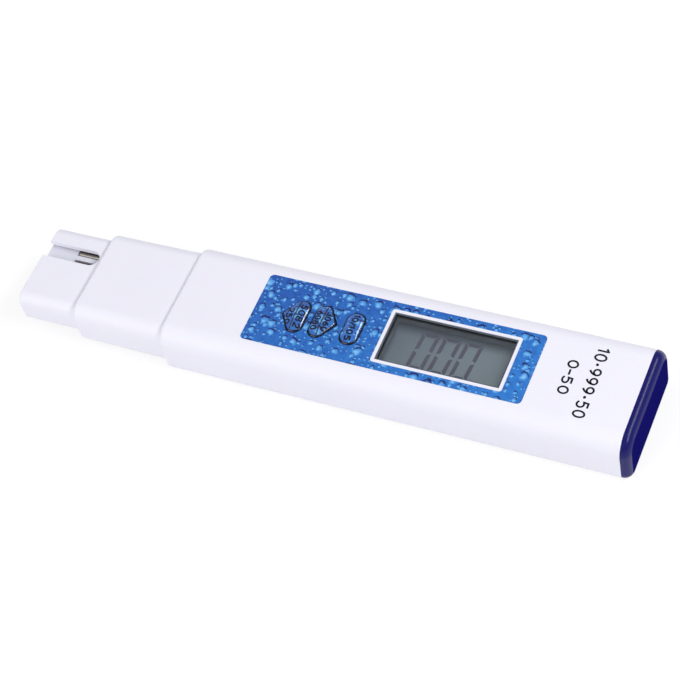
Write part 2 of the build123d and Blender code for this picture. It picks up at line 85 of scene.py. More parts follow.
def srgb(code: str) -> Colour:
    """Turns an sRGB hex colour into linear values.

    Args:
        code: six hex digits, as in "EDEEF8".

    Returns:
        Red, green, blue and an alpha of 1.
    """
    parts = [int(code[i:i + 2], 16) / 255 for i in (0, 2, 4)]
    red, green, blue = [p / 12.92 if p <= 0.04045 else ((p + 0.055) / 1.055) ** 2.4 for p in parts]
    return red, green, blue, 1.0


def add_node(tree: bpy.types.NodeTree, kind: str, links: dict | None = None, **settings) -> bpy.types.Node:
    """Adds one shader node with its settings, values and links.

    Args:
        tree: node tree that takes the node.
        kind: Blender's name of the node type.
        links: value or output socket for each input, by the input's name or number.
        **settings: attributes of the node, such as its operation.

    Returns:
        The new node.
    """
    node = tree.nodes.new(kind)
    for name, value in settings.items():
        setattr(node, name, value)
    for name, value in (links or {}).items():
        if isinstance(value, bpy.types.NodeSocket):
            tree.links.new(value, node.inputs[name])
        else:
            node.inputs[name].default_value = value
    return node


def new_material(name: str) -> tuple[bpy.types.Material, bpy.types.NodeTree, bpy.types.Node]:
    """Starts a material.

    Args:
        name: what the finish is.

    Returns:
        The material, its empty node tree and its output node.
    """
    material = bpy.data.materials.new(name)
    material.use_nodes = True
    tree = material.node_tree
    tree.nodes.clear()
    return material, tree, add_node(tree, "ShaderNodeOutputMaterial")


def place_in_mm(tree: bpy.types.NodeTree) -> bpy.types.NodeSocket:
    """Adds the place on the object, in millimetres, and returns its socket."""
    place = add_node(tree, "ShaderNodeTexCoord").outputs["Object"]
    scaled = add_node(tree, "ShaderNodeVectorMath", {0: place, "Scale": 1 / MM}, operation="SCALE")
    return scaled.outputs[0]


class Facing(Enum):
    """Way that a pointed key points along the pen."""

    SENSOR_END = -1
    CAP_END = 1


@dataclass(frozen=True)
class MouldedPlastic:
    """Injection-moulded plastic: a faint spark-eroded grain softens its gloss a little."""

    name: str
    colour: str
    shade: str
    roughness: float = 0.35
    ior: float = 1.53
    specular: float = 0.5
    # A spark-eroded grain is finer than this, and is drawn this coarse so that it shows
    grain: float = 0.35
    grain_depth: float = 0.02
    grain_strength: float = 0.35
    drift: float = 20.0
    glow: float = 0.0
    glow_depth: float = 1.5
    matt_end: bool = False
    matt_from: float = 0.93
    matt_full: float = 0.99
    matt_roughness: float = 0.7

    def build(self) -> bpy.types.Material:
        """Returns the material: two close tones drift over the surface, and fine grain breaks the gloss.

        With matt_end, faces that look along +X are matt, as a spark-eroded mould face leaves them.
        """
        material, tree, output = new_material(self.name)
        place = place_in_mm(tree)
        drift = add_node(tree, "ShaderNodeTexNoise", {
            "Vector": place, "Scale": 1 / self.drift, "Detail": 2.0})
        tone = add_node(tree, "ShaderNodeMix", {
            0: drift.outputs[0], 6: srgb(self.colour), 7: srgb(self.shade)}, data_type="RGBA")
        grain = add_node(tree, "ShaderNodeTexNoise", {
            "Vector": place, "Scale": 1 / self.grain, "Detail": 3.0})
        gloss = add_node(tree, "ShaderNodeMapRange", {"Value": grain.outputs[0], 3: self.roughness * 0.85,
                                                      4: self.roughness * 1.15})
        bump = add_node(tree, "ShaderNodeBump", {
            "Strength": self.grain_strength, "Distance": mm(self.grain_depth), "Height": grain.outputs[0]})
        shader = add_node(tree, "ShaderNodeBsdfPrincipled", {
            "Base Color": tone.outputs[2], "Roughness": gloss.outputs[0], "Normal": bump.outputs[0],
            "IOR": self.ior, "Specular IOR Level": self.specular, "Subsurface Weight": self.glow,
            "Subsurface Scale": mm(self.glow_depth)})
        if self.matt_end:
            matt = add_node(tree, "ShaderNodeBsdfPrincipled", {
                "Base Color": tone.outputs[2], "Roughness": self.matt_roughness,
                "Specular IOR Level": 0.0, "Normal": bump.outputs[0]})
            facing = add_node(tree, "ShaderNodeTexCoord").outputs["Normal"]
            axes = add_node(tree, "ShaderNodeSeparateXYZ", {0: facing})
            share = add_node(tree, "ShaderNodeMapRange", {
                "Value": axes.outputs[0], 1: self.matt_from, 2: self.matt_full},
                interpolation_type="SMOOTHSTEP")
            shader = add_node(tree, "ShaderNodeMixShader", {
                0: share.outputs[0], 1: shader.outputs[0], 2: matt.outputs[0]})
        tree.links.new(shader.outputs[0], output.inputs["Surface"])
        return material


@dataclass(frozen=True)
class DrawnMetal:
    """Drawn or turned metal: fine lines run along the pen and stretch its highlights across them."""

    name: str
    colour: str
    roughness: float = 0.3
    # Drawing lines are finer than this, and are drawn this coarse so that they show
    line: float = 0.12
    line_depth: float = 0.01
    line_strength: float = 0.3
    stretch: float = 0.05

    def build(self) -> bpy.types.Material:
        """Returns the material, with its lines drawn along X."""
        material, tree, output = new_material(self.name)
        place = place_in_mm(tree)
        stretched = add_node(tree, "ShaderNodeVectorMath", {0: place, 1: (self.stretch, 1.0, 1.0)},
                             operation="MULTIPLY")
        lines = add_node(tree, "ShaderNodeTexNoise", {"Vector": stretched.outputs[0], "Scale": 1 / self.line,
                                                      "Detail": 2.0})
        gloss = add_node(tree, "ShaderNodeMapRange", {"Value": lines.outputs[0], 3: self.roughness * 0.7,
                                                      4: self.roughness * 1.3})
        bump = add_node(tree, "ShaderNodeBump", {
            "Strength": self.line_strength, "Distance": mm(self.line_depth), "Height": lines.outputs[0]})
        shader = add_node(tree, "ShaderNodeBsdfPrincipled", {
            "Base Color": srgb(self.colour), "Metallic": 1.0, "Roughness": gloss.outputs[0],
            "Normal": bump.outputs[0]})
        tree.links.new(shader.outputs[0], output.inputs["Surface"])
        return material


@dataclass(frozen=True)
class ClearSheet:
    """Polished clear sheet or glass: it shows what lies under it and mirrors the room a little."""

    name: str
    tint: str
    roughness: float = 0.03
    ior: float = 1.49
    wipe_mark: float = 5.0

    def build(self) -> bpy.types.Material:
        """Returns the material, with a faint haze of wiping marks in its gloss."""
        material, tree, output = new_material(self.name)
        haze = add_node(tree, "ShaderNodeTexNoise", {
            "Vector": place_in_mm(tree), "Scale": 1 / self.wipe_mark, "Detail": 4.0})
        gloss = add_node(tree, "ShaderNodeMapRange", {"Value": haze.outputs[0], 3: self.roughness * 0.6,
                                                      4: self.roughness * 1.4})
        shader = add_node(tree, "ShaderNodeBsdfPrincipled", {
            "Base Color": srgb(self.tint), "Roughness": gloss.outputs[0], "IOR": self.ior,
            "Transmission Weight": 1.0})
        tree.links.new(shader.outputs[0], output.inputs["Surface"])
        return material


@dataclass(frozen=True)
class DropLayer:
    """One size of printed drop: spacing and radii in millimetres, and the share of places that hold one."""

    spacing: float
    small: float
    large: float
    share: float
    start: Point


@dataclass(frozen=True)
class DropPrint:
    """Gloss-printed polyester film: water drops of three sizes lie on a blue ground that lightens to one end.

    Each drop is light on its near side and carries a dark edge on its far side.
    """

    name: str
    roughness: float = 0.2
    coat: float = 0.12
    ground_dark: str = "12429F"
    ground_light: str = "2779CC"
    drop_light: str = "5FAAE6"
    drop_middle: str = "3B83D2"
    edge: str = "0E1C62"
    glint: str = "8CC8F2"
    tilt: float = -2.0
    tilt_range: Point = (-35.0, 60.0)
    cloud_scale: float = 0.55
    cloud_share: float = 2.4
    level_range: Point = (0.8, 2.3)
    ripple: float = 0.9
    wobble: float = 1.1
    scatter: float = 0.85
    layers: tuple[DropLayer, ...] = (
        DropLayer(1.3, 0.25, 0.42, 0.5, (3.1, 7.7)),
        DropLayer(2.3, 0.5, 0.85, 0.55, (41.3, 12.9)),
        DropLayer(3.9, 0.95, 1.45, 0.6, (17.9, 55.3)),
    )

    def build(self) -> bpy.types.Material:
        """Returns the material."""
        material, tree, output = new_material(self.name)
        place = place_in_mm(tree)
        flat = add_node(tree, "ShaderNodeVectorMath", {0: place, 1: (1.0, 1.0, 0.0)}, operation="MULTIPLY")
        colour = self.ground(tree, flat.outputs[0])
        for layer in self.layers:
            colour = self.drops(tree, flat.outputs[0], colour, layer)
        shader = add_node(tree, "ShaderNodeBsdfPrincipled", {
            "Base Color": colour, "Roughness": self.roughness, "IOR": 1.5, "Coat Weight": self.coat,
            "Coat Roughness": 0.06})
        tree.links.new(shader.outputs[0], output.inputs["Surface"])
        return material

    def ground(self, tree: bpy.types.NodeTree, flat: bpy.types.NodeSocket) -> bpy.types.NodeSocket:
        """Adds the blue ground.

        Args:
            tree: node tree of the material.
            flat: place on the film in millimetres.

        Returns:
            The colour socket.
        """
        axes = add_node(tree, "ShaderNodeSeparateXYZ", {0: flat})
        slope = add_node(tree, "ShaderNodeMath", {0: axes.outputs[1], 1: self.tilt, 2: axes.outputs[0]},
                         operation="MULTIPLY_ADD")
        along = add_node(tree, "ShaderNodeMapRange", {
            "Value": slope.outputs[0], 1: self.tilt_range[0], 2: self.tilt_range[1]})
        cloud = add_node(tree, "ShaderNodeTexNoise", {
            "Vector": flat, "Scale": self.cloud_scale, "Detail": 5.0, "Roughness": 0.6})
        total = add_node(tree, "ShaderNodeMath", {
            0: cloud.outputs[0], 1: self.cloud_share, 2: along.outputs[0]}, operation="MULTIPLY_ADD")
        level = add_node(tree, "ShaderNodeMapRange", {
            "Value": total.outputs[0], 1: self.level_range[0], 2: self.level_range[1]})
        ground = add_node(tree, "ShaderNodeMix", {
            0: level.outputs[0], 6: srgb(self.ground_dark), 7: srgb(self.ground_light)}, data_type="RGBA")
        return ground.outputs[2]

    def drops(self, tree: bpy.types.NodeTree, flat: bpy.types.NodeSocket, under: bpy.types.NodeSocket,
              layer: DropLayer) -> bpy.types.NodeSocket:
        """Adds the drops of one size over the colour below them.

        Args:
            tree: node tree of the material.
            flat: place on the film in millimetres.
            under: colour below the drops.
            layer: sizes and share of the drops.

        Returns:
            The colour socket.
        """
        shifted = add_node(tree, "ShaderNodeVectorMath", {0: flat, 1: (*layer.start, 0.0)}, operation="ADD")
        ripple = add_node(tree, "ShaderNodeTexNoise", {
            "Vector": shifted.outputs[0], "Scale": self.ripple / layer.large, "Detail": 1.0})
        wobble = add_node(tree, "ShaderNodeVectorMath", {0: ripple.outputs[1], 1: (0.5, 0.5, 0.5)},
                          operation="SUBTRACT")
        bent = add_node(tree, "ShaderNodeVectorMath", {
            0: wobble.outputs[0], 1: (layer.large * self.wobble,) * 3, 2: shifted.outputs[0]},
            operation="MULTIPLY_ADD")
        cells = add_node(tree, "ShaderNodeTexVoronoi", {
            "Vector": bent.outputs[0], "Scale": 1 / layer.spacing, "Randomness": self.scatter},
            voronoi_dimensions="2D")
        chance = add_node(tree, "ShaderNodeSeparateColor", {0: cells.outputs["Color"]})
        radius = add_node(tree, "ShaderNodeMapRange", {"Value": chance.outputs[0], 3: layer.small,
                                                       4: layer.large})
        present = add_node(tree, "ShaderNodeMath", {0: chance.outputs[1], 1: layer.share},
                           operation="LESS_THAN")
        offset = add_node(tree, "ShaderNodeVectorMath", {0: bent.outputs[0], 1: cells.outputs["Position"]},
                          operation="SUBTRACT")
        size = add_node(tree, "ShaderNodeMath", {0: 1.0, 1: radius.outputs[0]}, operation="DIVIDE")
        local = add_node(tree, "ShaderNodeVectorMath", {0: offset.outputs[0], "Scale": size.outputs[0]},
                         operation="SCALE")
        colour = under
        for centre, reach, soft, tint in self.spots():
            away = add_node(tree, "ShaderNodeVectorMath", {0: local.outputs[0], 1: (*centre, 0.0)},
                            operation="DISTANCE")
            disc = add_node(tree, "ShaderNodeMapRange", {"Value": away.outputs[1], 1: reach, 2: reach - soft},
                            interpolation_type="SMOOTHSTEP")
            mask = add_node(tree, "ShaderNodeMath", {0: disc.outputs[0], 1: present.outputs[0]},
                            operation="MULTIPLY")
            mixed = add_node(tree, "ShaderNodeMix", {0: mask.outputs[0], 6: colour, 7: srgb(tint)},
                             data_type="RGBA")
            colour = mixed.outputs[2]
        return colour

    def spots(self) -> tuple[tuple[Point, float, float, str], ...]:
        """Discs that build up one drop, in radii of the drop: centre, reach, softness and colour."""
        return (
            ((0.06, 0.38), 1.0, 0.25, self.edge),
            ((0.0, -0.06), 0.98, 0.25, self.drop_middle),
            ((-0.03, -0.12), 0.82, 0.5, self.drop_light),
            ((-0.15, -0.3), 0.5, 0.5, self.glint),
        )


@dataclass(frozen=True)
class DisplayFace:
    """Polarised display face: a matt grey green, lighter towards the near end, with painted shade along its
    far and left edges where the well's walls shadow it.
    """

    name: str
    dark: str = "8797A4"
    light: str = "ACBCC2"
    # Colour of the painted shade that the well's walls cast on the face
    painted_well_shadow: str = "4F5A66"
    roughness: float = 0.5
    tilt: float = -1.6
    tilt_range: Point = (8.0, 62.0)
    far_band: Point = (-4.2, 0.3)
    side_band: Point = (1.8, -0.6)

    def build(self) -> bpy.types.Material:
        """Returns the material."""
        material, tree, output = new_material(self.name)
        axes = add_node(tree, "ShaderNodeSeparateXYZ", {0: place_in_mm(tree)})
        slope = add_node(tree, "ShaderNodeMath", {0: axes.outputs[1], 1: self.tilt, 2: axes.outputs[0]},
                         operation="MULTIPLY_ADD")
        level = add_node(tree, "ShaderNodeMapRange", {
            "Value": slope.outputs[0], 1: self.tilt_range[0], 2: self.tilt_range[1]})
        face = add_node(tree, "ShaderNodeMix", {0: level.outputs[0], 6: srgb(self.dark), 7: srgb(self.light)},
                        data_type="RGBA")
        # Painted shade: the face darkens towards its far edge and its left edge, under the well's walls
        low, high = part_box("display_window")
        far, left = high.y / MM, low.x / MM
        painted_well_shadow = add_node(tree, "ShaderNodeMapRange", {
            "Value": axes.outputs[1], 1: far + self.far_band[0], 2: far + self.far_band[1]},
            interpolation_type="SMOOTHSTEP")
        side = add_node(tree, "ShaderNodeMapRange", {
            "Value": axes.outputs[0], 1: left + self.side_band[0], 2: left + self.side_band[1]},
            interpolation_type="SMOOTHSTEP")
        shade = add_node(tree, "ShaderNodeMath", {0: painted_well_shadow.outputs[0], 1: side.outputs[0]}, operation="MAXIMUM")
        toned = add_node(tree, "ShaderNodeMix", {0: shade.outputs[0], 6: face.outputs[2], 7: srgb(self.painted_well_shadow)},
                         data_type="RGBA")
        shader = add_node(tree, "ShaderNodeBsdfPrincipled", {
            "Base Color": toned.outputs[2], "Roughness": self.roughness, "IOR": 1.52})
        tree.links.new(shader.outputs[0], output.inputs["Surface"])
        return material


@dataclass(frozen=True)
class Ink:
    """Screen-printed ink: a thin even coat, a little less glossy than what it lies on."""

    name: str
    colour: str
    thin: str
    roughness: float = 0.35
    specular: float = 0.3
    speck_scale: float = 1.5

    def build(self) -> bpy.types.Material:
        """Returns the material, with a slightly thinner tone here and there in the ink."""
        material, tree, output = new_material(self.name)
        speck = add_node(tree, "ShaderNodeTexNoise", {
            "Vector": place_in_mm(tree), "Scale": self.speck_scale, "Detail": 2.0})
        colour = add_node(tree, "ShaderNodeMix", {0: speck.outputs[0], 6: srgb(self.colour),
                                                  7: srgb(self.thin)}, data_type="RGBA")
        shader = add_node(tree, "ShaderNodeBsdfPrincipled", {
            "Base Color": colour.outputs[2], "Roughness": self.roughness, "IOR": 1.5,
            "Specular IOR Level": self.specular})
        tree.links.new(shader.outputs[0], output.inputs["Surface"])
        return material


@dataclass(frozen=True)
class WellRubber:
    """Rubber that lines the display well: a dark grey at its lip, with painted light from the display graded
    in further down.
    """

    name: str
    lip: str = "565E69"
    # Lighter grey of the painted light near the display's face
    foot: str = "7B8791"
    roughness: float = 0.6
    grain_scale: float = 0.4
    grain_height: float = 0.8
    foot_margin: float = 0.3
    lip_margin: float = 0.2

    def build(self) -> bpy.types.Material:
        """Returns the material, graded by height from the display's face to the lip: the lighter foot is
        painted light.
        """
        material, tree, output = new_material(self.name)
        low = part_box("display_glass")[1].z / MM
        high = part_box("display_gasket")[1].z / MM
        axes = add_node(tree, "ShaderNodeSeparateXYZ", {0: place_in_mm(tree)})
        grain = add_node(tree, "ShaderNodeTexNoise", {
            "Vector": place_in_mm(tree), "Scale": self.grain_scale, "Detail": 2.0})
        place = add_node(tree, "ShaderNodeMath", {
            0: grain.outputs[0], 1: self.grain_height, 2: axes.outputs[2]}, operation="MULTIPLY_ADD")
        level = add_node(tree, "ShaderNodeMapRange", {
            "Value": place.outputs[0], 1: low + self.foot_margin, 2: high + self.lip_margin})
        tone = add_node(tree, "ShaderNodeMix", {0: level.outputs[0], 6: srgb(self.foot), 7: srgb(self.lip)},
                        data_type="RGBA")
        shader = add_node(tree, "ShaderNodeBsdfPrincipled", {
            "Base Color": tone.outputs[2], "Roughness": self.roughness, "IOR": 1.5})
        tree.links.new(shader.outputs[0], output.inputs["Surface"])
        return material


FINISHES = {
    # Moulded ABS: the grain spreads its highlights wide, and the cap's finer face keeps them sharper
    "body_white": MouldedPlastic("white_abs", "F0EFF8", "ECEBF5", roughness=0.5, specular=0.4, glow=0.05),
    "cap_blue": MouldedPlastic("navy_abs", "12115C", "161566", roughness=0.22, ior=1.3, grain_depth=0.004,
                               matt_end=True),
    # Printed film: the dome's clear top coat gives the sharp streaks on the keys
    "label_print": DropPrint("drop_print_film"),
    "key_print": DropPrint("drop_print_dome", roughness=0.15, coat=1.0),
    # Window, display and rubber: a clear mirror over matt greys
    "clear_window": ClearSheet("acrylic_window", "F4F6F8"),
    "display_cell": DisplayFace("display_glass_face"),
    "frame_dark": WellRubber("grey_gasket_rubber"),
    "seal_rubber": MouldedPlastic("black_nitrile", "1C1C1E", "232326", roughness=0.7),
    "strip_rubber": MouldedPlastic("layered_silicone", "77777D", "5E5E64", roughness=0.65),
    # Sensor end: plain plastic with light in it, black resin, drawn metal and blown glass
    "carrier_plastic": MouldedPlastic("natural_abs", "E6E7F0", "DFE0EA", roughness=0.4, glow=0.1),
    "potting_resin": MouldedPlastic("cast_epoxy", "1A1A1C", "202024", roughness=0.25),
    "pin_metal": DrawnMetal("titanium_pin", "8F8883", roughness=0.32),
    "probe_steel": DrawnMetal("stainless_tube", "B4B4B6", roughness=0.25),
    "stem_glass": ClearSheet("borosilicate_stem", "F2F6F6", ior=1.47),
    "wire_silver": DrawnMetal("silver_wire", "D8D6D0", roughness=0.2),
    "lead_cover": MouldedPlastic("silicone_lead", "B63A34", "A8332E", roughness=0.5),
    # Inside: matt mouldings and laminate, bright plated steel
    "tray_plastic": MouldedPlastic("grey_tray_abs", "B9BAC0", "B0B1B8", roughness=0.45),
    "board_green": MouldedPlastic("green_laminate", "1F5E3A", "2A6E45", roughness=0.35),
    "chip_black": MouldedPlastic("chip_epoxy", "1B1B1D", "242427", roughness=0.55),
    "component_ceramic": MouldedPlastic("sintered_ceramic", "8C7A62", "7B6B56", roughness=0.5),
    "switch_black": MouldedPlastic("switch_nylon", "202022", "28282A", roughness=0.5),
    "plunger_plastic": MouldedPlastic("acetal_plunger", "D8D8DC", "CFCFD4", roughness=0.35),
    "small_steel": DrawnMetal("plated_steel", "B9BABC", roughness=0.28),
    "cell_steel": DrawnMetal("nickel_cell", "C4C4C2", roughness=0.22),
    # Screen-printed inks: flat on the body, glossy on the domes, pale in the display
    "black_ink": Ink("black_ink", "05060A", "0A0C14"),
    "gloss_ink": Ink("gloss_black_ink", "05060C", "0A0E20", roughness=0.15, specular=0.5),
    "display_segment": Ink("display_segment", "6C6A7C", "767688", roughness=0.5),
}


@dataclass
class Workshop:
    """Turns lists of points into finished pieces that ride on their bodies."""

    frame: dict
    materials: dict[str, bpy.types.Material] = field(default_factory=dict)

    def finish(self, name: str) -> bpy.types.Material:
        """Returns the finish of a material slot, built once."""
        if name not in self.materials:
            self.materials[name] = FINISHES[name].build()
        return self.materials[name]

    def piece(self, name: str, points: list[Vector], faces: list[tuple[int, ...]], materials: list,
              body: str, slot: str, smooth: bool = True) -> bpy.types.Object:
        """Makes a mesh piece.

        Args:
            name: piece name.
            points: corners in metres, in the row frame.
            faces: corner numbers of each face.
            materials: its finishes.
            body: body that it rides on.
            slot: material slot of the record; not used.
            smooth: whether its faces are shaded smooth.

        Returns:
            The object.
        """
        mesh = bpy.data.meshes.new(name)
        mesh.from_pydata([tuple(p) for p in points], [], faces)
        mesh.validate()
        for material in materials:
            mesh.materials.append(material)
        if smooth:
            mesh.polygons.foreach_set("use_smooth", [True] * len(mesh.polygons))
        mesh.update()
        made = bpy.data.objects.new(name, mesh)
        bpy.context.scene.collection.objects.link(made)
        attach(made, body)
        log.info("%s: %d faces on %s", name, len(mesh.polygons), body)
        return made

    def dress(self) -> None:
        """Gives every moulded and machined node of the frame its finish."""
        for part in self.frame["record"]["subparts"]:
            node = self.frame["nodes"][part["node"]]
            for holder in node.material_slots:
                holder.material = self.finish(part["material_slot"])
            log.info("%s: %s", part["node"], part["material_slot"])


def rounded_outline(corners: list[Point], radii: list[float], steps: int = 10) -> list[Point]:
    """Rounds the corners of a polygon.

    Args:
        corners: its corners, counter-clockwise.
        radii: radius of each corner.
        steps: points on each arc, less one.

    Returns:
        Points round the outline.
    """
    outline = []
    for index, (corner, radius) in enumerate(zip(corners, radii)):
        here = Vector(corner)
        back = (Vector(corners[index - 1]) - here).normalized()
        ahead = (Vector(corners[(index + 1) % len(corners)]) - here).normalized()
        half = back.angle(ahead) / 2
        centre = here + (back + ahead).normalized() * (radius / math.sin(half))
        first = here + back * (radius / math.tan(half)) - centre
        turn = math.pi - 2 * half
        for step in range(steps + 1):
            spoke = first.copy()
            spoke.rotate(Matrix.Rotation(turn * step / steps, 2))
            outline.append(tuple(centre + spoke))
    return outline


def stadium(length: float, width: float, steps: int = 24) -> list[Point]:
    """Makes a slot shape, long across the pen.

    Args:
        length: from end to end.
        width: between its straight sides.
        steps: points on each round end, less one.

    Returns:
        Points counter-clockwise.
    """
    straight = (length - width) / 2
    outline = []
    for side in (1, -1):
        start = 0 if side > 0 else math.pi
        for step in range(steps + 1):
            angle = start + math.pi * step / steps
            outline.append((width / 2 * math.cos(angle), side * straight + width / 2 * math.sin(angle)))
    return outline


def arc(x: float, y: float, wide: float, tall: float, start: float, end: float) -> tuple[Point, ...]:
    """Makes part of an ellipse.

    Args:
        x: place of its middle.
        y: height of its middle.
        wide: half its width.
        tall: half its height.
        start: first angle in degrees.
        end: last angle in degrees.

    Returns:
        Points from the first angle to the last.
    """
    steps = max(4, round(abs(end - start) / 15))
    turns = [math.radians(start + (end - start) * step / steps) for step in range(steps + 1)]
    return tuple((x + wide * math.cos(turn), y + tall * math.sin(turn)) for turn in turns)


# Strokes of each sign in a box one wide and one tall
SIGNS: dict[str, tuple[tuple[Point, ...], ...]] = {
    "0": (arc(0.5, 0.5, 0.42, 0.5, 0, 360),),
    "1": (((0.2, 0.78), (0.58, 1.0), (0.58, 0.0)),),
    "2": ((*arc(0.48, 0.72, 0.38, 0.28, 160, -35), (0.1, 0.0), (0.92, 0.0)),),
    "3": (arc(0.45, 0.75, 0.36, 0.25, 150, -90), arc(0.45, 0.26, 0.42, 0.26, 90, -150)),
    "5": (((0.85, 1.0), (0.22, 1.0), (0.16, 0.58), *arc(0.46, 0.32, 0.4, 0.32, 110, -150)),),
    "6": (arc(0.5, 0.3, 0.4, 0.3, 0, 360), arc(0.95, 0.33, 0.85, 0.67, 110, 175)),
    "8": (arc(0.5, 0.76, 0.33, 0.24, 0, 360), arc(0.5, 0.27, 0.41, 0.27, 0, 360)),
    "9": (arc(0.5, 0.7, 0.4, 0.3, 0, 360), arc(0.05, 0.67, 0.85, 0.67, 5, -70)),
    "-": (((0.15, 0.45), (0.85, 0.45)),),
    "/": (((0.2, -0.05), (0.8, 1.05)),),
    "·": (arc(0.5, 0.45, 0.08, 0.04, 0, 360),),
}
NARROW = "1·-/"
NARROW_WIDTH = 0.6


def ring_faces(rings: int, count: int) -> list[tuple[int, ...]]:
    """Joins rings of points with four-sided faces.

    Args:
        rings: spaces between rings.
        count: points on each ring.

    Returns:
        Corner numbers of each face.
    """
    faces = []
    for ring in range(rings):
        for index in range(count):
            after = (index + 1) % count
            low, high = ring * count, (ring + 1) * count
            faces.append((low + index, low + after, high + after, high + index))
    return faces


@dataclass
class Lettering:
    """A row of plain numbers printed across the pen, read from its far side to its near side."""

    shop: Workshop
    name: str
    text: str
    heights: Point
    reach: Point
    place: Callable[[float, float], Vector]
    stroke: float = 0.5
    ink: str = "black_ink"
    body: str = "root"
    slot: str = "body_white"
    thickness: float = 0.01
    step: float = 0.2
    fill: float = 0.78
    mitre: float = 1.6

    def build(self) -> None:
        """Builds the row between its foot and head, and between its two ends."""
        widths = [NARROW_WIDTH if sign in NARROW else 1.0 for sign in self.text]
        foot, head = self.heights
        far, near = self.reach
        half = self.stroke / 2
        pitch = (far - near) / sum(widths)
        points: list[Vector] = []
        faces: list[tuple[int, ...]] = []
        done = 0.0
        for sign, width in zip(self.text, widths):
            for stroke in SIGNS[sign]:
                path = [(foot + half + y * (head - foot - self.stroke),
                         far - pitch * (done + width / 2 + (x - 0.5) * self.fill)) for x, y in stroke]
                self.ribbon(path, points, faces)
            done += width
        piece = self.shop.piece(self.name, points, faces, [self.shop.finish(self.ink)], self.body, self.slot,
                                smooth=False)
        thicken(piece, self.thickness)

    def ribbon(self, path: list[Point], points: list[Vector], faces: list[tuple[int, ...]]) -> None:
        """Adds one stroke as a ribbon with mitred corners.

        Args:
            path: its middle line in millimetres.
            points: corners that it adds to.
            faces: faces that it adds to.
        """
        line = [Vector(path[0])]
        for end in path[1:]:
            start = line[-1].copy()
            count = max(1, round((Vector(end) - start).length / self.step))
            line += [start.lerp(Vector(end), (index + 1) / count) for index in range(count)]
        first = len(points)
        for index, here in enumerate(line):
            back = (here - line[max(index - 1, 0)]).normalized()
            ahead = (line[min(index + 1, len(line) - 1)] - here).normalized()
            way = (back + ahead).normalized()
            widen = min(self.mitre, 1 / max(0.1, way.dot(ahead if ahead.length else back)))
            across = Vector((-way.y, way.x)) * (self.stroke / 2 * widen)
            for side in (here - across, here + across):
                points.append(self.place(side.x, side.y))
        for index in range(len(line) - 1):
            corner = first + 2 * index
            faces.append((corner, corner + 2, corner + 3, corner + 1))


@dataclass(frozen=True)
class Legend:
    """Numbers on a key.

    Each row is its text, its foot and head on X, and its far and near end on Y. The divider lies at an X.
    """

    rows: tuple[tuple[str, Point, Point], ...]
    divider: float | None = None


